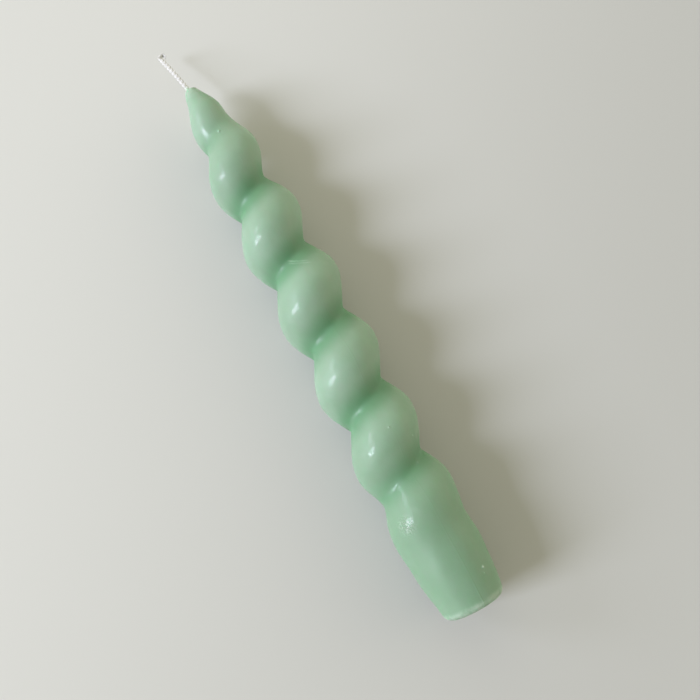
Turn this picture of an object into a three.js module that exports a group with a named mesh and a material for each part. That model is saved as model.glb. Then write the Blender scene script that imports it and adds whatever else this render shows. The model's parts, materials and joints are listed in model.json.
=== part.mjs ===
// A twisted taper candle lying on its side: one cast wax body and the cotton wick that runs through it.
// Millimetres, +Z up. The candle lies along X, its base end towards +X and its wick towards -X.
// Stations are distances from the base end along the candle, or down from the top of the wax.
import * as THREE from 'three';
import { mergeVertices } from 'three/addons/utils/BufferGeometryUtils.js';

// Wax body: lengths along the candle
const waxLength = 200;
const bellyStation = 20.7;
const fullStation = 79;
const upperDrop = 45.5;
const shoulderDrop = 25;
const neckDrop = 9.7;
const tipDrop = 4.3;

// Wax body: diameters over the ridge at those stations
const baseDiameter = 21;
const bellyDiameter = 26.2;
const fullDiameter = 27.4;
const upperDiameter = 24.5;
const shoulderDiameter = 20.7;
const neckDiameter = 12.7;
const tipDiameter = 8;
const baseEdge = 2.2;
const tipEdge = 0.4;

// Twist: one right-hand ridge that fades out towards both ends
const lead = 26.85;
const grooveDepth = 5.15;
const twistStart = 12.9;
const twistFull = 61;
const tipFade = 37;
const ridgeStation = 147.7;
const ridgePower = 1.15;
const grooveSoftness = 0.12;
const halfLean = 0.24;
const frontTurn = THREE.MathUtils.degToRad(10.9);

// The candle's slight sideways bow, how far its tip leans to the left and over what length, and the flat
// on which it has settled
const bow = 0.38;
const bowWaves = 1.35;
const tipShift = 1.3;
const tipShiftLength = 9.6;
const restFlat = 0.45;

// Wick: full length of the wax, and an end that stands clear of the top, bends to the left and droops
const wickDiameter = 1.25;
const wickClearance = 0.3;
const wickOffset = 0.5;
const wickWall = 0.25;
const wickReach = 20;
const wickBend = 3.3;
const wickDrop = 5;
const wickLean = THREE.MathUtils.degToRad(10);
const wickSides = 8;

// Fineness of the faceted surfaces, and how close two points are to count as one
const sides = 40;
const ringPitch = 2;
const edgeSteps = 4;
const channelSides = 10;
const wickPitch = 3;
const weld = 1e-3;

const waxColour = 0x93bd9c;
const wickColour = 0xeceae2;

const { smoothstep } = THREE.MathUtils;

// The blunt top is just wide enough for the off-centre wick, its thinnest wall and the rounded corner
const channelRadius = wickDiameter / 2 + wickClearance;
const topDiameter = 2 * (wickOffset + channelRadius + wickWall + tipEdge);

// Diameter over the ridge along the candle, as a smooth curve through the stations
const ridgeCurve = new THREE.CubicInterpolant(
  [0, bellyStation, fullStation, waxLength - upperDrop, waxLength - shoulderDrop,
    waxLength - neckDrop, waxLength - tipDrop, waxLength],
  [baseDiameter, bellyDiameter, fullDiameter, upperDiameter, shoulderDiameter,
    neckDiameter, tipDiameter, topDiameter],
  1,
);

// Rounded corners draw the outline in at both ends
function cornerInset(distance, radius) {
  const short = Math.max(radius - distance, 0);
  return radius - Math.sqrt(radius ** 2 - short ** 2);
}

function ridgeRadius(station) {
  const full = ridgeCurve.evaluate(station)[0] / 2;
  return full - cornerInset(station, baseEdge) - cornerInset(waxLength - station, tipEdge);
}

// How strong the twist is at a station: 0 where the candle is plain, 1 where it is fully twisted
function twistStrength(station) {
  return smoothstep(station, twistStart, twistFull) * smoothstep(waxLength - station, 0, tipFade);
}

// Height of the wax between groove bottom (0) and ridge (1) at a phase of the twist
function ridgeShape(phase, strength) {
  const soft = grooveSoftness;
  const lobe = (Math.hypot(Math.cos(phase / 2), soft) - soft) / (Math.hypot(1, soft) - soft);
  const wave = (1 + Math.cos(phase)) / 2;
  return THREE.MathUtils.lerp(wave, lobe ** ridgePower, strength);
}

// Radius at a station and at an angle from the candle's right side, which turns towards its top
function waxRadius(station, angle) {
  const strength = twistStrength(station);
  const turned = angle - frontTurn;
  const turn = turned + (2 * Math.PI * (station - ridgeStation)) / lead;
  const phase = turn + halfLean * strength * Math.cos(turned) * (1 - Math.cos(turn)) / 2;
  return ridgeRadius(station) - grooveDepth * strength * (1 - ridgeShape(phase, strength));
}

// How far the middle of the wax lies to the right of the straight axis
function middleAt(station) {
  const shift = tipShift * smoothstep(station, waxLength - tipShiftLength, waxLength);
  return -bow * Math.sin(2 * Math.PI * bowWaves * station / waxLength) - shift;
}

// Middle of the wick's channel: on the axis at the base end, left of the wax's middle at the top
function channelCentre(station) {
  const offset = (middleAt(waxLength) - wickOffset) * station / waxLength;
  return new THREE.Vector3(-station, offset * Math.cos(frontTurn), offset * Math.sin(frontTurn));
}

function waxStations() {
  const corner = (radius) => Array.from({ length: edgeSteps }, (_, i) => (
    radius * (1 - Math.cos((i / edgeSteps) * (Math.PI / 2)))
  ));
  const plain = waxLength - baseEdge - tipEdge;
  const count = Math.ceil(plain / ringPitch);
  const middle = Array.from({ length: count + 1 }, (_, i) => baseEdge + (plain * i) / count);
  const top = corner(tipEdge).map((drop) => waxLength - drop).reverse();
  return [...corner(baseEdge), ...middle, ...top];
}

function waxRing(station) {
  return Array.from({ length: sides }, (_, i) => {
    const angle = (2 * Math.PI * (i + 0.5)) / sides;
    const radius = waxRadius(station, angle);
    const across = radius * Math.cos(angle) + middleAt(station) * Math.cos(frontTurn);
    const up = radius * Math.sin(angle) + middleAt(station) * Math.sin(frontTurn);
    return new THREE.Vector3(-station, across, up);
  });
}

function channelRing(station) {
  const centre = channelCentre(station);
  return Array.from({ length: channelSides }, (_, i) => {
    const angle = (2 * Math.PI * (i + 0.5)) / channelSides;
    const spoke = new THREE.Vector3(0, Math.cos(angle), Math.sin(angle));
    return spoke.multiplyScalar(channelRadius).add(centre);
  });
}

// The line on which the underside rests: the edge of its lower hull that lies below the balance point
function restLine(rings) {
  const lowest = rings.map((ring) => ring.reduce((low, p) => (p.z < low.z ? p : low)));
  const areas = rings.map((ring) => ring.reduce((sum, p) => sum + Math.hypot(p.y, p.z) ** 2, 0));
  let moment = 0;
  let volume = 0;
  for (let i = 1; i < rings.length; i += 1) {
    const slice = (rings[i - 1][0].x - rings[i][0].x) * (areas[i] + areas[i - 1]);
    volume += slice;
    moment += slice * (rings[i][0].x + rings[i - 1][0].x) / 2;
  }
  const balance = moment / volume;
  const slopeTo = (a, b) => (b.z - a.z) / (b.x - a.x);
  const baseSide = lowest.filter((p) => p.x > balance);
  const tipSide = lowest.filter((p) => p.x <= balance);
  const heightAtBalance = (a, b) => a.z + slopeTo(a, b) * (balance - a.x);
  let best = { height: Infinity };
  baseSide.forEach((a) => tipSide.forEach((b) => {
    const height = heightAtBalance(a, b);
    if (height < best.height) best = { height, slope: slopeTo(a, b) };
  }));
  return { height: best.height - best.slope * balance, slope: best.slope };
}

// Joins two closed loops of points, the longer one having a whole number of points for each of the other
function stitch(index, from, fromCount, to, toCount) {
  const total = Math.max(fromCount, toCount);
  const fromStep = total / fromCount;
  const toStep = total / toCount;
  const pick = (start, count, step, i) => start + (Math.floor(i / step) % count);
  for (let i = 0; i < total; i += 1) {
    const a = pick(from, fromCount, fromStep, i);
    const b = pick(from, fromCount, fromStep, i + 1);
    const c = pick(to, toCount, toStep, i);
    const d = pick(to, toCount, toStep, i + 1);
    if (a !== b) index.push(a, d, b);
    if (c !== d) index.push(a, c, d);
  }
}

function waxGeometry() {
  const stations = waxStations();
  const rings = stations.map(waxRing);
  const line = restLine(rings);
  const floorAt = (x) => line.height + line.slope * x + restFlat;
  rings.forEach((ring) => ring.forEach((p) => { p.z = Math.max(p.z, floorAt(p.x)); }));
  const loops = [...rings, channelRing(waxLength), channelRing(0)];
  const points = loops.flat().flatMap((p) => p.toArray());
  const starts = [];
  loops.reduce((start, loop) => {
    starts.push(start);
    return start + loop.length;
  }, 0);
  const index = [];
  loops.forEach((loop, i) => {
    const next = (i + 1) % loops.length;
    stitch(index, starts[i], loop.length, starts[next], loops[next].length);
  });
  const geometry = new THREE.BufferGeometry();
  geometry.setAttribute('position', new THREE.Float32BufferAttribute(points, 3));
  geometry.setIndex(index);
  geometry.computeVertexNormals();
  return { geometry, slope: line.slope };
}

// The wick follows its channel, leans to the left as it leaves the wax, bends further over and droops
function wickPath() {
  const base = channelCentre(0);
  const exit = channelCentre(waxLength);
  const along = exit.clone().sub(base).normalize();
  const beyond = (reach, bend, drop) => (
    exit.clone().addScaledVector(along, reach).add(new THREE.Vector3(0, -bend, -drop))
  );
  const halfway = wickReach / 2;
  const path = new THREE.CurvePath();
  path.add(new THREE.LineCurve3(base, exit));
  path.add(new THREE.QuadraticBezierCurve3(
    exit,
    beyond(halfway, halfway * Math.tan(wickLean), 0),
    beyond(wickReach, wickBend, wickDrop),
  ));
  return path;
}

function wickGeometry() {
  const section = new THREE.Shape();
  for (let i = 0; i < wickSides; i += 1) {
    const angle = (2 * Math.PI * i) / wickSides;
    const x = (wickDiameter / 2) * Math.cos(angle);
    const y = (wickDiameter / 2) * Math.sin(angle);
    if (i === 0) section.moveTo(x, y);
    else section.lineTo(x, y);
  }
  section.closePath();
  const extrudePath = wickPath();
  const steps = Math.ceil(extrudePath.getLength() / wickPitch);
  const geometry = new THREE.ExtrudeGeometry(section, { steps, extrudePath, bevelEnabled: false });
  geometry.deleteAttribute('uv');
  geometry.deleteAttribute('normal');
  return mergeVertices(geometry, weld);
}

const wax = waxGeometry();
const waxBody = new THREE.Mesh(
  wax.geometry,
  new THREE.MeshStandardMaterial({ color: waxColour, roughness: 0.42, metalness: 0 }),
);
waxBody.name = 'wax_body';

const wick = new THREE.Mesh(
  wickGeometry(),
  new THREE.MeshStandardMaterial({ color: wickColour, roughness: 0.9, metalness: 0 }),
);
wick.name = 'wick';

// Laid down level on its flat, centred over the origin
const candle = new THREE.Group();
candle.add(waxBody, wick);
candle.rotation.y = Math.atan(wax.slope);
candle.updateMatrixWorld(true);
const box = new THREE.Box3().setFromObject(candle, true);
const centre = box.getCenter(new THREE.Vector3());
candle.position.set(-centre.x, -centre.y, -box.min.z);

const part = new THREE.Group();
part.add(candle);

export default part;
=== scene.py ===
"""A twisted taper candle of pale green wax, lying unlit on a pale table in soft daylight from the left.

Metres, +Z up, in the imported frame: the candle lies along X with its base end towards +X.
A station is a distance along the candle from its base end, and an angle goes round it, from its +Y side
over its top. The skin of the wax follows the solid's formula, made much finer here and with slightly crisper
groove bottoms, and it gains the fine relief that is too small for the solid.
"""

import json
import math

import bpy
import numpy as np
from mathutils import Matrix, Vector


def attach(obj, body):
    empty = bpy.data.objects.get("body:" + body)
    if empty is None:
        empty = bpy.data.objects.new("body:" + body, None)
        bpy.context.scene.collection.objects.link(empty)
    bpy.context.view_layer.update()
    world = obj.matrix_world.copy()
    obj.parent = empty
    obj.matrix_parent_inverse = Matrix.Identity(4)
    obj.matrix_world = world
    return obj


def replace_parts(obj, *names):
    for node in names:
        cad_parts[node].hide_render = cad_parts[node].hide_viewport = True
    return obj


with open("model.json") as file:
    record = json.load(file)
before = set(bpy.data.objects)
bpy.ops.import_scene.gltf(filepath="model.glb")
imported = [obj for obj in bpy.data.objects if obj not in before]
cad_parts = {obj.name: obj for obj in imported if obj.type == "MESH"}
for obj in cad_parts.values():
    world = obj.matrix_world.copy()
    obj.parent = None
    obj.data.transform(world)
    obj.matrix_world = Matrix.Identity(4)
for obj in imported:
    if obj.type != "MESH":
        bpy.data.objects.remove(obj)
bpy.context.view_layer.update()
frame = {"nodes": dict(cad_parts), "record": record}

MM = 1e-3
TURN = 2 * math.pi

# Wax body: stations, and the diameter over the ridge at each; the last one is the blunt top
RIDGE_STATIONS = np.array((0, 20.7, 79, 154.5, 175, 190.3, 195.7, 200)) * MM
RIDGE_DIAMETERS = np.array((21, 26.2, 27.4, 24.5, 20.7, 12.7, 8, 4.15)) * MM
BASE_EDGE = 2.2 * MM
TIP_EDGE = 0.4 * MM

# Twist: one right-hand ridge that fades out towards both ends
LEAD = 26.85 * MM
GROOVE_DEPTH = 5.15 * MM
TWIST_START = 12.9 * MM
TWIST_FULL = 61 * MM
TIP_FADE = 37 * MM
RIDGE_STATION = 147.7 * MM
RIDGE_POWER = 1.15
GROOVE_SOFTNESS = 0.09
HALF_LEAN = 0.24
FRONT_TURN = math.radians(10.9)
BOW = 0.38 * MM
BOW_WAVES = 1.35
TIP_SHIFT = 1.3 * MM
TIP_SHIFT_LENGTH = 9.6 * MM

# Wick: a flat plait of three strands, whose end stands clear of the top, bends aside and droops
WICK_WIDTH = 1.7 * MM
WICK_OFFSET = 0.5 * MM
WICK_REACH = 20 * MM
WICK_BEND = 3.3 * MM
WICK_DROP = 5 * MM
WICK_LEAN = math.radians(10)

# Camera: where it looks along the candle, how far off it is, and how it leans, turns and rolls
AIM_STATION = 95.3 * MM
CAMERA_DISTANCE = 0.305
CAMERA_LEAN = math.radians(7.6)
CAMERA_ROLL = math.radians(28.49)
CAMERA_LENS = 46.75
PICTURE_SIDE = 700
AIM_PIXEL = (335.7, 348.4)


def smoothstep(x, low, high):
    t = np.clip((x - low) / (high - low), 0, 1)
    return t * t * (3 - 2 * t)


def hermite(x, knots, values):
    """A smooth curve through the knots, whose slope at each is the mean of the slopes beside it."""
    chords = np.diff(values) / np.diff(knots)
    slopes = np.concatenate([chords[:1], (chords[:-1] + chords[1:]) / 2, chords[-1:]])
    i = np.clip(np.searchsorted(knots, x, side="right") - 1, 0, len(knots) - 2)
    span = knots[i + 1] - knots[i]
    t = (x - knots[i]) / span
    return (
        values[i] * (1 + 2 * t) * (1 - t) ** 2
        + values[i + 1] * t * t * (3 - 2 * t)
        + span * (slopes[i] * t * (1 - t) ** 2 + slopes[i + 1] * t * t * (t - 1))
    )


def ripple(points, wavelength, seed, waves=20):
    """Smooth ripples of about one wavelength, mostly between -1 and 1, the same on each run."""
    draw = np.random.default_rng(seed)
    ways = draw.normal(size=(waves, 3))
    ways /= np.linalg.norm(ways, axis=1)[:, None]
    lengths = wavelength * draw.uniform(0.7, 1.5, waves)
    starts = draw.uniform(0, TURN, waves)
    total = np.sin(points @ (TURN * ways / lengths[:, None]).T + starts).sum(-1)
    return total * math.sqrt(2 / waves) / 2


def graded(low, high, step, zones=()):
    """Values from low to high that lie a step apart, and closer in each (middle, half width, step) zone."""
    fine = np.linspace(low, high, 4000)
    density = np.full_like(fine, 1 / step)
    for middle, half_width, zone_step in zones:
        nearness = 1 - smoothstep(np.abs(fine - middle), half_width, 2.5 * half_width)
        density = np.maximum(density, 1 / step + nearness * (1 / zone_step - 1 / step))
    total = np.concatenate([[0], np.cumsum((density[1:] + density[:-1]) / 2 * np.diff(fine))])
    count = math.ceil(total[-1])
    return np.interp(np.linspace(0, total[-1], count + 1), total, fine)


# The candle's own axes, from the solid: X comes out of the middle of its base end
FACE_TOLERANCE = 0.01 * MM


def measure_base_end():
    """The middle of the solid's base end, the turn from the candle's own axes, and the wax's length."""
    mount = next(m for m in frame["record"]["mounts"] if m["name"] == "base_end")
    outward = Vector(mount["axis"]).normalized()
    points = np.array([v.co for v in frame["nodes"]["wax_body"].data.vertices])
    reach = points @ np.array(outward)
    face = points[reach > reach.max() - FACE_TOLERANCE]
    turn = Vector((1, 0, 0)).rotation_difference(outward).to_matrix()
    return (face.min(0) + face.max(0)) / 2, np.array(turn), reach.max() - reach.min()


BASE_MIDDLE, CANDLE_TURN, WAX_LENGTH = measure_base_end()


def to_frame(points):
    """Points in the candle's own axes, moved to where the candle lies."""
    return np.asarray(points) @ CANDLE_TURN.T + BASE_MIDDLE


def corner_inset(distance, radius):
    """How far a rounded corner draws the outline in at a distance from the end."""
    short = np.maximum(radius - distance, 0)
    return radius - np.sqrt(radius**2 - short**2)


def ridge_radius(station):
    """Radius over the ridge, with the rounded corners of both ends."""
    full = hermite(station, RIDGE_STATIONS, RIDGE_DIAMETERS) / 2
    return full - corner_inset(station, BASE_EDGE) - corner_inset(WAX_LENGTH - station, TIP_EDGE)


def twist_strength(station):
    """1 where the spiral is full, 0 where the candle is plain."""
    return smoothstep(station, TWIST_START, TWIST_FULL) * smoothstep(WAX_LENGTH - station, 0, TIP_FADE)


def ridge_shape(station, angle):
    """Height of the wax between groove bottom, 0, and ridge, 1."""
    strength = twist_strength(station)
    turned = angle - FRONT_TURN
    turn = turned + TURN * (station - RIDGE_STATION) / LEAD
    phase = turn + HALF_LEAN * strength * np.cos(turned) * (1 - np.cos(turn)) / 2
    soft = GROOVE_SOFTNESS
    lobe = (np.hypot(np.cos(phase / 2), soft) - soft) / (math.hypot(1, soft) - soft)
    wave = (1 + np.cos(phase)) / 2
    return wave + (lobe**RIDGE_POWER - wave) * strength


def wax_radius(station, angle):
    """Radius of the wax before its fine relief."""
    drop = GROOVE_DEPTH * twist_strength(station) * (1 - ridge_shape(station, angle))
    return ridge_radius(station) - drop


def middle_at(station):
    """How far the middle of the wax lies to the right of the straight axis."""
    shift = TIP_SHIFT * smoothstep(station, WAX_LENGTH - TIP_SHIFT_LENGTH, WAX_LENGTH)
    return -BOW * np.sin(TURN * BOW_WAVES * station / WAX_LENGTH) - shift


def axis_point(station):
    """The candle's slightly bowed middle line, in its own axes."""
    off = middle_at(station)
    return np.stack(np.broadcast_arrays(-station, off * math.cos(FRONT_TURN), off * math.sin(FRONT_TURN)), -1)


# Fine relief of the cast skin: the mould seam on both sides, and the unevenness of wax, which is a list
# of wavelength, height and seed
SEAM_ANGLE = math.radians(86)
SEAM_WIDTH = 0.2 * MM
SEAM_HEIGHT = 0.09 * MM
SEAM_FADES = (9 * MM, 23 * MM)
SEAM_FAINT = 0.4
SEAM_BASE_END = 11 * MM
UNEVEN = ((11 * MM, 0.10 * MM, 1), (4 * MM, 0.032 * MM, 2))

# Small raised pips left by bubbles in the mould: station, angle in degrees, and size across
PIPS = (
    (179.1, 95, 0.8),
    (63.3, 88, 0.55),
    (57.5, 57.5, 0.6),
    (49.3, 62.5, 0.6),
    (11.2, 59, 0.85),
    (9.4, 61.3, 0.6),
)
PIP_STEEPNESS = 0.5

# Faint double line across one lobe, where two flows of wax met as the candle was poured
FLOW_MIDDLE = (125.3 * MM, math.radians(86))
FLOW_CLIMB = 5.7 * MM
FLOW_HALF_ANGLE = math.radians(21)
FLOW_HALF_GAP = 0.5 * MM
FLOW_WIDTH = 0.26 * MM
FLOW_HEIGHT = 0.13 * MM

# Small patch of fine pits, where the wax set against something rough
PATCH = (33.6 * MM, math.radians(131.5))
PATCH_RADIUS = 2.6 * MM


def seam_relief(station, angle, radius):
    """The thin raised line where the two halves of the mould met: faint, and strong at the base end."""
    relief = 0
    fading = 0.55 + 0.45 * np.sin(station / SEAM_FADES[0]) * np.sin(station / SEAM_FADES[1] + 1)
    strong = 1 - smoothstep(station, SEAM_BASE_END * 0.6, SEAM_BASE_END)
    strength = np.maximum(fading * SEAM_FAINT, strong)
    for seam in (SEAM_ANGLE, SEAM_ANGLE + math.pi):
        off = (angle - seam + math.pi) % TURN - math.pi
        relief = relief + np.exp(-((radius * off / SEAM_WIDTH) ** 2))
    return SEAM_HEIGHT * strength * relief


def pip_relief(station, angle, radius):
    """The raised pips: soft bumps whose height goes with their size across."""
    relief = 0
    for pip_station, pip_angle, across in PIPS:
        along = station - pip_station * MM
        around = radius * (angle - math.radians(pip_angle))
        relief = relief + np.exp(-(along**2 + around**2) / (across * MM / 2) ** 2) * across
    return PIP_STEEPNESS * MM * relief


def flow_relief(station, angle):
    """Two thin ridges side by side, slanting round the candle."""
    turned = angle - FLOW_MIDDLE[1]
    off = station - FLOW_MIDDLE[0] - FLOW_CLIMB * turned
    ridges = sum(np.exp(-(((off + side * FLOW_HALF_GAP) / FLOW_WIDTH) ** 2)) for side in (-1, 1))
    fade = 1 - smoothstep(np.abs(turned), 0.55 * FLOW_HALF_ANGLE, FLOW_HALF_ANGLE)
    return FLOW_HEIGHT * fade * ridges


def skin(station, angle):
    """Points of the wax skin in the frame, for arrays of stations and angles that go together."""
    radius = wax_radius(station, angle)
    spoke = np.stack(np.broadcast_arrays(0, np.cos(angle), np.sin(angle), station)[:3], -1)
    middle = axis_point(station)
    rough = middle + radius[..., None] * spoke
    relief = seam_relief(station, angle, radius) + pip_relief(station, angle, radius)
    relief = relief + flow_relief(station, angle)
    for wavelength, height, seed in UNEVEN:
        relief = relief + height * ripple(rough, wavelength, seed)
    return to_frame(middle + (radius + relief)[..., None] * spoke)


def patch_strength(station, angle):
    """1 in the middle of the pitted patch, 0 away from it."""
    around = wax_radius(station, angle) * (angle - PATCH[1])
    return np.exp(-(np.hypot(station - PATCH[0], around) / PATCH_RADIUS) ** 3)


# The edge of the base end and the top are painted paler: the edge partly as scuffing and partly as painted
# sheen, and painted light on the base end's outer rings hides the shade under its rounded edge. The pips and
# the flow line get painted glints
WEAR_AND_SHEEN_EDGE = 3.2 * MM
WEAR_AND_SHEEN_TOP = 5 * MM
PAINTED_LIGHT_FACE_RINGS = 2
PIP_PAINTED_GLINT = 1.6
FLOW_PAINTED_HIGHLIGHT = 0.8


def wear_and_sheen_strength(station):
    """1 at the base end's edge, scuffed and with painted sheen, and at the top, painted paler; 0 away from
    them.
    """
    edge = 1 - smoothstep(station, 0.5 * WEAR_AND_SHEEN_EDGE, WEAR_AND_SHEEN_EDGE)
    return np.maximum(edge, smoothstep(station, WAX_LENGTH - WEAR_AND_SHEEN_TOP, WAX_LENGTH))


# How softly the underside is pressed flat where it meets the table
SETTLE = 0.05 * MM


def settle(points):
    """Presses what would reach below the table flat on it, with a soft edge."""
    z = points[..., 2]
    points[..., 2] = SETTLE * np.logaddexp(0, z / SETTLE)
    return points


# Wick: its middle line, with the plait's width sideways and its thickness upwards
WICK_HEIGHT = 1.35 * MM
WICK_SAMPLES = 400


def wick_line():
    """Points along the wick's middle line from the base end to its tip, in the candle's own axes."""
    offset = middle_at(WAX_LENGTH) - WICK_OFFSET
    leave = np.array((-WAX_LENGTH, offset * math.cos(FRONT_TURN), offset * math.sin(FRONT_TURN)))
    forward = leave / np.linalg.norm(leave)
    halfway = WICK_REACH / 2
    bend = leave + forward * halfway + np.array((0, -halfway * math.tan(WICK_LEAN), 0))
    end = leave + forward * WICK_REACH + np.array((0, -WICK_BEND, -WICK_DROP))
    t = np.linspace(0, 1, WICK_SAMPLES)[:, None]
    curve = (1 - t) ** 2 * leave + 2 * t * (1 - t) * bend + t**2 * end
    return np.concatenate([[[0, 0, 0]], curve])


WICK_LINE = wick_line()
WICK_REACHED = np.concatenate([[0], np.cumsum(np.linalg.norm(np.diff(WICK_LINE, axis=0), axis=1))])
WICK_LENGTH = WICK_REACHED[-1]
WICK_EXIT = WICK_REACHED[1]


def wick_at(length):
    """Middle, forward, sideways and upward directions of the wick at lengths from the base end."""
    def place(at):
        return np.stack([np.interp(at, WICK_REACHED, WICK_LINE[:, k]) for k in range(3)], -1)

    step = 0.3 * MM
    ahead = place(np.minimum(length + step, WICK_LENGTH)) - place(np.maximum(length - step, 0))
    forward = ahead / np.linalg.norm(ahead, axis=-1, keepdims=True)
    side = np.array((0, 1, 0)) - forward * forward[..., 1:2]
    side /= np.linalg.norm(side, axis=-1, keepdims=True)
    return place(length), forward, side, np.cross(side, forward)


def new_piece(name, points, faces, material, uvs=None):
    """A smooth mesh piece that rides with the candle."""
    mesh = bpy.data.meshes.new(name)
    mesh.from_pydata([tuple(p) for p in points], [], faces)
    mesh.shade_smooth()
    if uvs is not None:
        mesh.uv_layers.new(name="lay").data.foreach_set("uv", np.asarray(uvs, np.float32).ravel())
    piece = bpy.data.objects.new(name, mesh)
    bpy.context.scene.collection.objects.link(piece)
    piece.data.materials.append(material)
    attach(piece, "root")
    return piece


def add_attribute(piece, name, values):
    attribute = piece.data.attributes.new(name, "FLOAT", "POINT")
    attribute.data.foreach_set("value", np.asarray(values, np.float32).ravel())


class Shader:
    """Adds nodes to a new material. An input is a number, a colour, a vector or another node's output."""

    def __init__(self, name):
        self.material = bpy.data.materials.new(name)
        self.material.use_nodes = True
        self.tree = self.material.node_tree
        self.surface = self.tree.nodes["Principled BSDF"]

    def put(self, node, key, value):
        if isinstance(value, bpy.types.NodeSocket):
            self.tree.links.new(value, node.inputs[key])
        else:
            node.inputs[key].default_value = value

    def add(self, kind, inputs, **settings):
        node = self.tree.nodes.new(kind)
        for key, value in settings.items():
            setattr(node, key, value)
        for key, value in inputs.items():
            self.put(node, key, value)
        return node

    def place(self):
        return self.add("ShaderNodeTexCoord", {}).outputs["Object"]

    def attribute(self, name):
        return self.add("ShaderNodeAttribute", {}, attribute_name=name).outputs["Fac"]

    def noise(self, place, size, detail=2.0, roughness=0.5):
        inputs = {"Vector": place, "Scale": 1 / size, "Detail": detail, "Roughness": roughness}
        return self.add("ShaderNodeTexNoise", inputs).outputs["Fac"]

    def range(self, value, low, high, to_low=0.0, to_high=1.0, smooth=True):
        inputs = {"Value": value, "From Min": low, "From Max": high, "To Min": to_low, "To Max": to_high}
        kind = "SMOOTHSTEP" if smooth else "LINEAR"
        return self.add("ShaderNodeMapRange", inputs, interpolation_type=kind).outputs["Result"]

    def math(self, operation, a, b=0.0):
        return self.add("ShaderNodeMath", {0: a, 1: b}, operation=operation).outputs[0]

    def mix(self, amount, a, b):
        inputs = {"Factor": amount, "A": a, "B": b}
        node = self.add("ShaderNodeMix", {}, data_type="RGBA")
        sockets = {s.name: s for s in node.inputs if s.enabled}
        for key, value in inputs.items():
            if isinstance(value, bpy.types.NodeSocket):
                self.tree.links.new(value, sockets[key])
            else:
                sockets[key].default_value = value
        return next(s for s in node.outputs if s.enabled)

    def bump(self, height, distance, under=None):
        inputs = {"Height": height, "Distance": distance}
        if under is not None:
            inputs["Normal"] = under
        return self.add("ShaderNodeBump", inputs).outputs["Normal"]

    def finish(self, **inputs):
        for key, value in inputs.items():
            self.put(self.surface, key.replace("_", " ").title().replace("Ior", "IOR"), value)
        return self.material


def srgb(red, green, blue):
    """A colour written as 0 to 255 screen values, in the linear values that a shader takes."""
    def linear(value):
        value /= 255
        return value / 12.92 if value <= 0.04045 else ((value + 0.055) / 1.055) ** 2.4

    return (linear(red), linear(green), linear(blue), 1.0)


WAX_COLOURS = (srgb(132, 160, 134), srgb(138, 166, 141))
# Deeper green that the wax grows towards the base end
BASE_COLOUR = srgb(112, 147, 115)
BASE_COLOUR_RANGE = (0.02, 0.09)
# Painted shade for the groove bottoms
PAINTED_GROOVE_SHADE_COLOUR = srgb(78, 133, 90)
# Pale colour for wear and painted sheen at the base end's edge and the top, and painted glints on the pips
# and the flow line
WEAR_AND_SHEEN_COLOUR = srgb(172, 190, 172)
# Painted glints for the pits of the patch
PAINTED_PIT_GLINT_COLOUR = srgb(190, 208, 190)
COTTON_COLOURS = (srgb(202, 201, 197), srgb(217, 216, 212))
# Painted shade for the gaps between the cotton's fibres
COTTON_GAP_SHADE_COLOUR = srgb(190, 188, 181)
SOAKED_COLOUR = srgb(186, 212, 186)


def wax_material():
    """Dyed wax: satin, softly lit from within, with a faint cloudiness and fine pores. Its colour also holds
    painted shade in the grooves, painted sheen and glints on pale marks, and a deeper green towards the base
    end.
    """
    shader = Shader("green_wax")
    place = shader.place()
    clouds = shader.noise(place, 14 * MM, 3.0)
    colour = shader.mix(shader.range(clouds, 0.35, 0.65), *WAX_COLOURS)
    along = shader.add("ShaderNodeSeparateXYZ", {"Vector": place}).outputs["X"]
    # The wax grows a deeper green towards the base end
    colour = shader.mix(shader.range(along, *BASE_COLOUR_RANGE, 0.0, 0.65), colour, BASE_COLOUR)
    # Painted shade: the groove bottoms are mixed towards a darker green, by the wax's height between groove
    # and ridge
    rise = shader.attribute("rise")
    colour = shader.mix(shader.range(rise, 0.0, 0.8, 0.8, 0.0), colour, PAINTED_GROOVE_SHADE_COLOUR)
    # Painted sheen and wear: the base end's edge and the top are mixed towards a pale colour, partly scuffing
    # and partly painted sheen; the pips and the flow line get painted glints from the same mask
    patchiness = shader.range(shader.noise(place, 2.6 * MM, 3.0, 0.6), 0.3, 0.65, 0.15, 0.65)
    wear_and_sheen = shader.math("MULTIPLY", patchiness, shader.attribute("wear_and_sheen"))
    colour = shader.mix(wear_and_sheen, colour, WEAR_AND_SHEEN_COLOUR)
    pores = shader.noise(place, 0.5 * MM, 2.0, 0.6)
    dimples = shader.noise(place, 2.2 * MM, 2.0)
    pits = shader.range(shader.noise(place, 0.65 * MM, 1.0), 0.42, 0.62)
    pits = shader.math("MULTIPLY", pits, shader.attribute("pitted"))
    # Painted glints: pale flecks at the pits of the patch
    colour = shader.mix(shader.math("MULTIPLY", pits, 0.5), colour, PAINTED_PIT_GLINT_COLOUR)
    normal = shader.bump(pores, 0.006 * MM)
    normal = shader.bump(dimples, 0.05 * MM, normal)
    normal = shader.bump(pits, 0.25 * MM, normal)
    roughness = shader.range(shader.noise(place, 3 * MM, 2.0), 0.3, 0.7, 0.53, 0.63)
    return shader.finish(
        base_color=colour,
        roughness=roughness,
        normal=normal,
        subsurface_weight=1.0,
        subsurface_radius=(0.45, 1.0, 0.65),
        subsurface_scale=1.1 * MM,
        ior=1.5,
        coat_weight=0.2,
        coat_roughness=0.12,
    )


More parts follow.
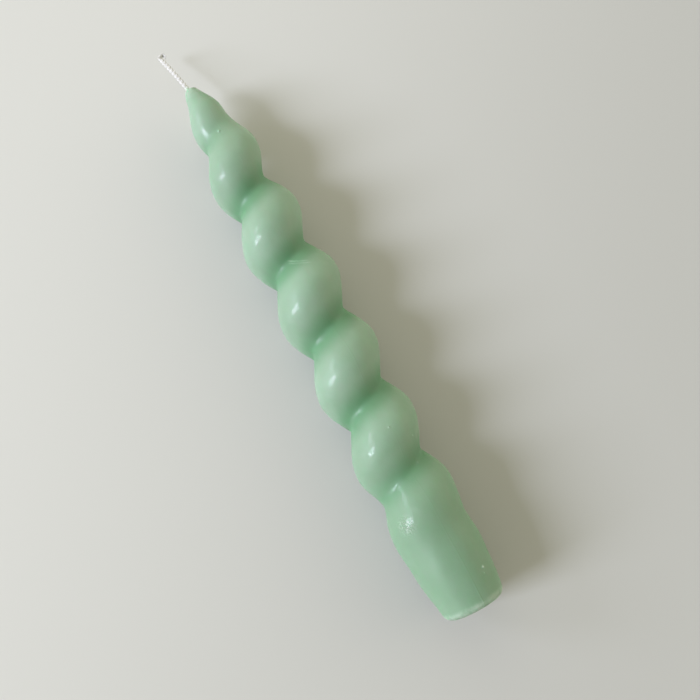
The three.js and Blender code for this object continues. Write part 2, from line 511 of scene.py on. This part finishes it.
def cotton_material():
    """Plaited white cotton with painted shade in the gaps between its fibres, stained pale green where the
    wax has soaked into it.
    """
    shader = Shader("wick_cotton")
    place = shader.place()
    lay = shader.add("ShaderNodeUVMap", {}, uv_map="lay").outputs["UV"]
    strands = shader.add(
        "ShaderNodeTexWave",
        {"Vector": lay, "Scale": 1.0, "Distortion": 1.2, "Detail": 2.0, "Detail Scale": 2.0},
        bands_direction="DIAGONAL",
    ).outputs["Fac"]
    fuzz = shader.noise(place, 0.12 * MM, 3.0, 0.6)
    white = shader.mix(shader.range(fuzz, 0.3, 0.7), *COTTON_COLOURS)
    # Painted shade: the gaps between the fibres' bands are mixed towards a darker grey
    white = shader.mix(shader.range(strands, 0.0, 0.5, 0.3, 0.0), white, COTTON_GAP_SHADE_COLOUR)
    soak = shader.attribute("soak")
    colour = shader.mix(soak, white, SOAKED_COLOUR)
    normal = shader.bump(strands, 0.02 * MM)
    normal = shader.bump(fuzz, 0.012 * MM, normal)
    return shader.finish(
        base_color=colour,
        roughness=shader.range(soak, 0.0, 1.0, 0.92, 0.45, smooth=False),
        normal=normal,
        sheen_weight=0.2,
        sheen_roughness=0.5,
    )


# Wax mesh: how far apart its rings and columns lie, and where they lie closer
RING_STEP = 0.76 * MM
COLUMN_STEP = math.radians(2.5)
SEAM_ZONE = (math.radians(2.6), math.radians(0.55))
TIP_ZONE = (WAX_LENGTH - 8 * MM, 6 * MM, 0.4 * MM)
BASE_ZONE = (3 * MM, 2 * MM, 0.4 * MM)
FLOW_ZONE = (FLOW_MIDDLE[0], 2.6 * MM, 0.24 * MM)
PIP_STEP = 0.16 * MM
PIP_RADIUS = 12 * MM
CORNER_STEPS = 8
BASE_RINGS = 14
TIP_RINGS = 14
CHANNEL_RINGS = 10
DISH_DEPTH = 0.22 * MM
TIP_DOME = 0.35 * MM
COLLAR_HEIGHT = 0.7 * MM
COLLAR_REACH = 0.2
CHANNEL_TIGHTNESS = 0.6
CHANNEL_TAPER = 0.96


def ring_stations():
    """Stations of the rings: rounded corners at both ends, and closer where there is finer relief."""
    quarter = np.linspace(0, math.pi / 2, CORNER_STEPS, endpoint=False)
    base = BASE_EDGE * (1 - np.cos(quarter))
    tip = WAX_LENGTH - TIP_EDGE * (1 - np.cos(quarter))[::-1]
    pips = [(station * MM, across / 2 * MM, PIP_STEP) for station, _, across in PIPS]
    zones = [TIP_ZONE, BASE_ZONE, FLOW_ZONE, *pips]
    middle = graded(BASE_EDGE, WAX_LENGTH - TIP_EDGE, RING_STEP, zones)
    return np.concatenate([base, middle, tip])


def column_angles():
    """Angles of the columns, once round from the far seam, close together at the seams and pips."""
    start = SEAM_ANGLE - math.pi
    seams = [(start + half_turns * math.pi, *SEAM_ZONE) for half_turns in range(3)]
    half_widths = [across / 2 * MM / PIP_RADIUS for _, _, across in PIPS]
    pips = [(math.radians(pip[1]), half, PIP_STEP / PIP_RADIUS) for pip, half in zip(PIPS, half_widths)]
    return graded(start, start + TURN, COLUMN_STEP, seams + pips)[:-1]


def wick_hole(length, angles, tightness=CHANNEL_TIGHTNESS):
    """The ring of wax that grips the wick at a length along it."""
    middle, _, side, up = wick_at(np.full(len(angles), length))
    across = WICK_WIDTH / 2 * tightness * np.cos(angles)[:, None] * side
    return middle + across + WICK_HEIGHT / 2 * tightness * np.sin(angles)[:, None] * up


def base_rings(angles):
    """From the wick's hole out to the rounded rim, slightly dished where the wax sank as it set."""
    rim = skin(np.zeros_like(angles), angles)
    hole = to_frame(wick_hole(0, angles))
    inward = -CANDLE_TURN[:, 0]
    rings = []
    for t in np.linspace(0, 1, BASE_RINGS, endpoint=False):
        dish = DISH_DEPTH * (1 - smoothstep(t, 0.05, 0.9))
        rings.append(hole + (rim - hole) * t + inward * dish)
    return rings


def tip_rings(angles):
    """From the top's corner in to the wick: a low dome, and a collar of wax drawn up round the wick."""
    edge = skin(np.full_like(angles, WAX_LENGTH), angles)
    outward = -CANDLE_TURN[:, 0]
    rings = []
    for t in np.linspace(0, 1, TIP_RINGS + 1)[1:]:
        left = 1 - t**0.75
        rise = TIP_DOME * (1 - left**2) + COLLAR_HEIGHT * math.exp(-left / COLLAR_REACH)
        hole = to_frame(wick_hole(WICK_EXIT, angles))
        gone, left_behind = to_frame(wick_at(np.array((WICK_EXIT + rise, WICK_EXIT)))[0])
        drift = (gone - left_behind)[None]
        along = outward * rise
        sideways = (drift - outward * (drift @ outward)[:, None]) * (1 - left)
        rings.append(hole + (edge - hole) * left + along + sideways)
    return rings


def channel_rings(angles):
    """The hole that the wick fills, from the tip back to the base end."""
    lengths = np.linspace(WICK_EXIT, 0, CHANNEL_RINGS)[:-1]
    return [to_frame(wick_hole(length, angles, CHANNEL_TIGHTNESS * CHANNEL_TAPER)) for length in lengths]


def make_wax(material):
    """The whole skin as one closed mesh: end face, outside, top and the wick's channel, ring by ring."""
    angles = column_angles()
    stations = ring_stations()
    rings = skin(stations[:, None] + 0 * angles, angles + 0 * stations[:, None])
    # Height between groove bottom and ridge, which the wax material uses for painted shade in the grooves
    rise = 1 - twist_strength(stations[:, None]) * (1 - ridge_shape(stations[:, None], angles))
    base, tip, channel = base_rings(angles), tip_rings(angles), channel_rings(angles)
    points = settle(np.concatenate([np.array(base), rings, np.array(tip), np.array(channel)]))
    count, width = points.shape[:2]
    row, column = np.meshgrid(np.arange(count), np.arange(width), indexing="ij")
    next_row, next_column = (row + 1) % count, (column + 1) % width
    corners = ((row, column), (next_row, column), (next_row, next_column), (row, next_column))
    faces = np.stack([r * width + c for r, c in corners], -1).reshape(-1, 4)
    wax = new_piece("wax_body_cast", points.reshape(-1, 3), faces.tolist(), material)
    outside = slice(len(base), len(base) + len(stations))
    heights = np.ones((count, width))
    heights[outside] = rise
    add_attribute(wax, "rise", heights)
    pitted = np.zeros((count, width))
    pitted[outside] = patch_strength(stations[:, None], angles)
    add_attribute(wax, "pitted", pitted)
    # Mask of pale marks: painted light on the base end's outer rings hides the shade under the rounded edge,
    # wear and painted sheen at the edge and the top, painted glints on the pips and the flow line
    wear_and_sheen = np.zeros((count, width))
    wear_and_sheen[len(base) - PAINTED_LIGHT_FACE_RINGS : len(base)] = 1
    pips = pip_relief(stations[:, None], angles, wax_radius(stations[:, None], angles))
    flow = flow_relief(stations[:, None], angles)
    # Painted glints: the pips and the flow line are made pale, as if lit
    painted_glints = np.maximum(np.minimum(PIP_PAINTED_GLINT * pips / pips.max(), 1), FLOW_PAINTED_HIGHLIGHT * flow / flow.max())
    wear_and_sheen[outside] = np.maximum(wear_and_sheen_strength(stations)[:, None], painted_glints)
    wear_and_sheen[len(base) + len(stations) :] = 1
    add_attribute(wax, "wear_and_sheen", wear_and_sheen)
    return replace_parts(wax, "wax_body")


# Plait: three strands of four yarns round a core. It has come undone over the last stretch
PLAIT_PITCH = 4.6 * MM
YARNS = 4
YARN_RADIUS = 0.3 * MM
YARN_SPREAD = 0.15 * MM
YARN_TWIST = 3 * MM
YARN_SIDES = 8
CORE_RADIUS = 0.56 * MM
CORE_SIDES = 16
PLAIT_STEP = 0.17 * MM
HIDDEN_STEP = 0.9 * MM
SOAKED = (0.2 * MM, 2.2 * MM)

# Where each strand strays from the end of the plait: millimetres sideways, up and forward
LOOSE_LENGTH = 3.2 * MM
LOOSE = (
    ((0, 0, 0), (0.35, 0.1, 0.7), (1.2, 0.2, 1.3), (1.3, 0.1, 2.4)),
    ((0, 0, 0), (0.3, -0.1, 0.7), (1.0, -0.1, 1.2), (0.9, -0.3, 1.9)),
    ((0, 0, 0), (0.4, 0.1, 0.7), (1.1, 0.3, 1.2), (1.9, 0.3, 0.9), (2.0, 0.1, -0.2), (1.4, 0, -0.7)),
)
LOOSE_POINTS = 28
LOOSE_THINNING = 0.25
STRAY = 0.24 * MM


class Tubes:
    """Gathers closed tubes into one mesh, with a map of turns round and lengths along each tube."""

    def __init__(self):
        self.points, self.faces, self.uvs, self.lengths = [], [], [], []

    def add(self, path, radii, sides, lengths=None):
        start = sum(len(p) for p in self.points)
        path = np.asarray(path)
        forward = np.gradient(path, axis=0)
        forward /= np.linalg.norm(forward, axis=1)[:, None]
        side = np.cross(forward, (0.3, 0.2, 1.0))
        side /= np.linalg.norm(side, axis=1)[:, None]
        up = np.cross(side, forward)
        around = TURN * np.arange(sides) / sides
        spokes = np.cos(around)[:, None] * side[:, None] + np.sin(around)[:, None] * up[:, None]
        self.points.append((path[:, None] + np.asarray(radii)[:, None, None] * spokes).reshape(-1, 3))
        at = np.concatenate([[0], np.cumsum(np.linalg.norm(np.diff(path, axis=0), axis=1))])
        self.lengths.append(np.repeat(at if lengths is None else lengths, sides))
        for i in range(len(path) - 1):
            for k in range(sides):
                near, far = start + i * sides, start + (i + 1) * sides
                self.faces.append((near + k, near + (k + 1) % sides, far + (k + 1) % sides, far + k))
                low, high = at[i] / MM, at[i + 1] / MM
                self.uvs += [(k, low), (k + 1, low), (k + 1, high), (k, high)]
        last = start + (len(path) - 1) * sides
        self.faces.append(tuple(start + k for k in reversed(range(sides))))
        self.faces.append(tuple(last + k for k in range(sides)))
        self.uvs += [(0, 0)] * sides + [(0, at[-1] / MM)] * sides

    def piece(self, name, material, cad_slot):
        made = new_piece(name, np.concatenate(self.points), self.faces, material, self.uvs)
        along = np.concatenate(self.lengths) - WICK_EXIT
        add_attribute(made, "soak", 1 - smoothstep(along, *SOAKED))
        return made


def loose_places(strand):
    """Sideways, upward and forward places of a strand beyond the end of the plait, and the share along it."""
    places = np.array(LOOSE[strand]) * MM
    knots = np.linspace(0, 1, len(places))
    at = np.linspace(0, 1, LOOSE_POINTS)
    return np.stack([hermite(at, knots, places[:, k]) for k in range(3)], -1), at


def yarn_path(strand, yarn, draw):
    """One yarn's points, their lengths along it, and how many of them are in the plait.

    It goes over and under in the plait, and strays where that has come undone.
    """
    plait_end = WICK_LENGTH - LOOSE_LENGTH
    hidden = np.arange(0, WICK_EXIT - 2 * MM, HIDDEN_STEP)
    shown = np.arange(hidden[-1] + HIDDEN_STEP, plait_end, PLAIT_STEP)
    length = np.concatenate([hidden, shown])
    middle, forward, side, up = wick_at(length)
    phase = TURN * (length / PLAIT_PITCH + strand / len(LOOSE))
    strand_radius = YARN_SPREAD + YARN_RADIUS
    turn = TURN * (yarn / YARNS + length / YARN_TWIST)
    across = (WICK_WIDTH / 2 - strand_radius) * np.sin(phase) + YARN_SPREAD * np.cos(turn)
    over = (WICK_HEIGHT / 2 - strand_radius) * np.sin(2 * phase) + YARN_SPREAD * np.sin(turn)
    plait = middle + across[:, None] * side + over[:, None] * up

    places, at = loose_places(strand)
    twist = TURN * at[:, None] * (LOOSE_LENGTH / YARN_TWIST)
    swirl = YARN_SPREAD * (np.sin(twist + yarn) * side[-1] + np.cos(twist + yarn) * up[-1])
    stray = swirl - swirl[0] + draw.normal(0, STRAY, 3) * at[:, None] ** 1.5
    route = places[:, :1] * side[-1] + places[:, 1:2] * up[-1] + places[:, 2:] * forward[-1]
    path = np.concatenate([plait, plait[-1] + (route + stray)[1:]])
    return path, np.concatenate([length, length[-1] + at[1:] * LOOSE_LENGTH]), len(length)


def make_wick(material):
    draw = np.random.default_rng(7)
    tubes = Tubes()
    for strand in range(len(LOOSE)):
        for yarn in range(YARNS):
            path, length, plaited = yarn_path(strand, yarn, draw)
            thinning = np.concatenate([np.ones(plaited), np.linspace(1, LOOSE_THINNING, LOOSE_POINTS)[1:]])
            radii = YARN_RADIUS * thinning
            tubes.add(to_frame(path), radii, YARN_SIDES, length)
    core = np.arange(0, WICK_LENGTH - LOOSE_LENGTH, 2 * PLAIT_STEP)
    tubes.add(to_frame(wick_at(core)[0]), np.full(len(core), CORE_RADIUS), CORE_SIDES, core)
    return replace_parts(tubes.piece("wick_plait", material, "wick_cotton"), "wick")


# Loose fibres: fine hairs that stand off the plait, more of them at the frayed end
HAIRS = 110
HAIR_RADIUS = 0.01 * MM
HAIR_DEPTH = 0.75
HAIR_POINTS = 7


def make_fibres(material):
    draw = np.random.default_rng(11)
    tubes = Tubes()
    plait_end = WICK_LENGTH - LOOSE_LENGTH
    for hair in range(HAIRS):
        turn = draw.uniform(0, TURN)
        start = draw.uniform(WICK_EXIT + 1.5 * MM, plait_end)
        middle, forward, side, up = (v[0] for v in wick_at(np.array([start])))
        root = middle + HAIR_DEPTH * WICK_WIDTH / 2 * math.cos(turn) * side
        root = root + HAIR_DEPTH * WICK_HEIGHT / 2 * math.sin(turn) * up
        if hair % 3 == 0:
            middle, forward, side, up = (v[0] for v in wick_at(np.array([plait_end])))
            places, _ = loose_places(hair % len(LOOSE))
            along, over, ahead = places[draw.integers(LOOSE_POINTS)]
            root = middle + along * side + over * up + ahead * forward
            start = plait_end
        out = math.cos(turn) * side + math.sin(turn) * up
        size = draw.uniform(0.4, 1.3) * MM
        curl = draw.normal(0, 0.5, 3)
        t = np.linspace(0, 1, HAIR_POINTS)[:, None]
        path = root + size * (t * (out * 0.7 + forward * draw.uniform(-0.2, 1.0)) + t**2 * curl)
        tubes.add(to_frame(path), HAIR_RADIUS * (1 - 0.7 * t[:, 0]), 4, np.full(HAIR_POINTS, start))
    return tubes.piece("wick_fibres", material, "wick_cotton")


# Table top: its two tints, painted light that falls off diagonally under the candle, lighter towards the tip
# and the window and darker towards the base end and the far side, and half its side
FLOOR_PAINTED_LIGHT_TINTS = (srgb(207, 207, 202), srgb(182, 182, 177))
FLOOR_PAINTED_LIGHT_CHANGE = 0.22
FLOOR_HALF_SIDE = 3.0


def make_floor():
    """A pale table top with painted light falling off across it, well past what any view shows."""
    shader = Shader("table_top")
    place = shader.place()
    axes = shader.add("ShaderNodeSeparateXYZ", {"Vector": place}).outputs
    across = shader.math("ADD", axes["X"], axes["Y"])
    # Painted light: the table's colour grades from light to dark along X plus Y
    colour = shader.mix(shader.range(across, -FLOOR_PAINTED_LIGHT_CHANGE, FLOOR_PAINTED_LIGHT_CHANGE), *FLOOR_PAINTED_LIGHT_TINTS)
    grain = shader.noise(place, 1.2 * MM, 3.0, 0.6)
    material = shader.finish(
        base_color=colour,
        roughness=shader.range(grain, 0.2, 0.8, 0.7, 0.8, smooth=False),
        normal=shader.bump(grain, 0.01 * MM),
        specular_ior_level=0.2,
    )
    mesh = bpy.data.meshes.new("table_top")
    half = FLOOR_HALF_SIDE
    corners = [(-half, -half, 0), (half, -half, 0), (half, half, 0), (-half, half, 0)]
    mesh.from_pydata(corners, [], [(0, 1, 2, 3)])
    floor = bpy.data.objects.new("table_top", mesh)
    floor.data.materials.append(material)
    bpy.context.scene.collection.objects.link(floor)


# Daylight: a tall window on the left, and a weaker one towards the tip. Azimuth and elevation are in degrees
LAMP_DISTANCE = 4.8
LAMPS = {
    "window": {"azimuth": -96.5, "elevation": 29.5, "size": (1.2, 2.22), "power": 228},
    "corner": {"azimuth": -128, "elevation": 23, "size": (1.2, 1.2), "power": 47},
}
LAMP_COLOUR = (0.905, 0.94, 1.14)

# The room's softer warm light, mostly from its four sides: azimuth, elevation and strength of each glow
GLOWS = ((180, 27, 1.28), (-90, 12, 1.05), (0, 6, 0.75), (90, 11, 1.8), (0, 90, 0.11))
GLOW_SHARPNESS = 4.0
ROOM_COLOUR = (1.12, 1.09, 0.885, 1.0)
BACKDROP = srgb(205, 205, 200)


def point_at(thing, target):
    away = thing.location - Vector(target)
    thing.rotation_euler = away.to_track_quat("Z", "Y").to_euler()


def direction(azimuth, elevation):
    """The way towards an azimuth and elevation in degrees."""
    azimuth, elevation = math.radians(azimuth), math.radians(elevation)
    flat = math.cos(elevation)
    return Vector((flat * math.cos(azimuth), flat * math.sin(azimuth), math.sin(elevation)))


def make_lamp(name, azimuth, elevation, size, power):
    lamp = bpy.data.lights.new(name, "AREA")
    lamp.shape = "RECTANGLE"
    lamp.size, lamp.size_y = size
    lamp.energy = power
    lamp.color = LAMP_COLOUR
    thing = bpy.data.objects.new(name, lamp)
    thing.location = LAMP_DISTANCE * direction(azimuth, elevation)
    point_at(thing, (0, 0, 0))
    bpy.context.scene.collection.objects.link(thing)


def make_room():
    """Soft light from the sides, and a plain pale backdrop for the camera alone."""
    world = bpy.data.worlds.new("room")
    bpy.context.scene.world = world
    world.use_nodes = True
    tree = world.node_tree
    room = tree.nodes["Background"]
    room.inputs["Color"].default_value = ROOM_COLOUR
    way = tree.nodes.new("ShaderNodeTexCoord").outputs["Generated"]

    def calculate(kind, operation, *inputs):
        node = tree.nodes.new(kind)
        node.operation = operation
        for socket, value in zip(node.inputs, inputs):
            if isinstance(value, bpy.types.NodeSocket):
                tree.links.new(value, socket)
            else:
                socket.default_value = value
        return next(output for output in node.outputs if output.enabled)

    total = 0.0
    for azimuth, elevation, strength in GLOWS:
        near = calculate("ShaderNodeVectorMath", "DOT_PRODUCT", way, direction(azimuth, elevation))
        near = calculate("ShaderNodeMath", "MAXIMUM", near, 0.0)
        near = calculate("ShaderNodeMath", "POWER", near, GLOW_SHARPNESS)
        total = calculate("ShaderNodeMath", "MULTIPLY_ADD", near, strength, total)
    tree.links.new(total, room.inputs["Strength"])

    backdrop = tree.nodes.new("ShaderNodeBackground")
    backdrop.inputs["Color"].default_value = BACKDROP
    rays = tree.nodes.new("ShaderNodeLightPath")
    mix = tree.nodes.new("ShaderNodeMixShader")
    tree.links.new(rays.outputs["Is Camera Ray"], mix.inputs["Fac"])
    tree.links.new(room.outputs["Background"], mix.inputs[1])
    tree.links.new(backdrop.outputs["Background"], mix.inputs[2])
    tree.links.new(mix.outputs["Shader"], tree.nodes["World Output"].inputs["Surface"])


def make_camera():
    """The photograph's view: from above, a little on the base end's side, with the tip up and to the left."""
    tip = Vector(-CANDLE_TURN[:, 0])
    aim = Vector(BASE_MIDDLE) + tip * AIM_STATION
    over = Vector((0, -math.sin(FRONT_TURN), math.cos(FRONT_TURN)))
    over = (over - over.dot(tip) * tip).normalized()
    back = math.cos(CAMERA_LEAN) * over - math.sin(CAMERA_LEAN) * tip
    along = math.cos(CAMERA_LEAN) * tip + math.sin(CAMERA_LEAN) * over
    across = along.cross(back)
    up = along * math.cos(CAMERA_ROLL) + across * math.sin(CAMERA_ROLL)
    right = across * math.cos(CAMERA_ROLL) - along * math.sin(CAMERA_ROLL)
    lens = bpy.data.cameras.new("camera")
    lens.lens = CAMERA_LENS
    lens.shift_x = (PICTURE_SIDE / 2 - AIM_PIXEL[0]) / PICTURE_SIDE
    lens.shift_y = (AIM_PIXEL[1] - PICTURE_SIDE / 2) / PICTURE_SIDE
    camera = bpy.data.objects.new("camera", lens)
    matrix = Matrix((right, up, back)).transposed().to_4x4()
    matrix.translation = aim + back * CAMERA_DISTANCE
    camera.matrix_world = matrix
    bpy.context.scene.collection.objects.link(camera)
    bpy.context.scene.camera = camera


bpy.context.scene.view_settings.view_transform = "Standard"
make_camera()
for lamp_name, lamp_values in LAMPS.items():
    make_lamp(lamp_name, **lamp_values)
make_room()
make_floor()
make_wax(wax_material())
cotton = cotton_material()
make_wick(cotton)
make_fibres(cotton)
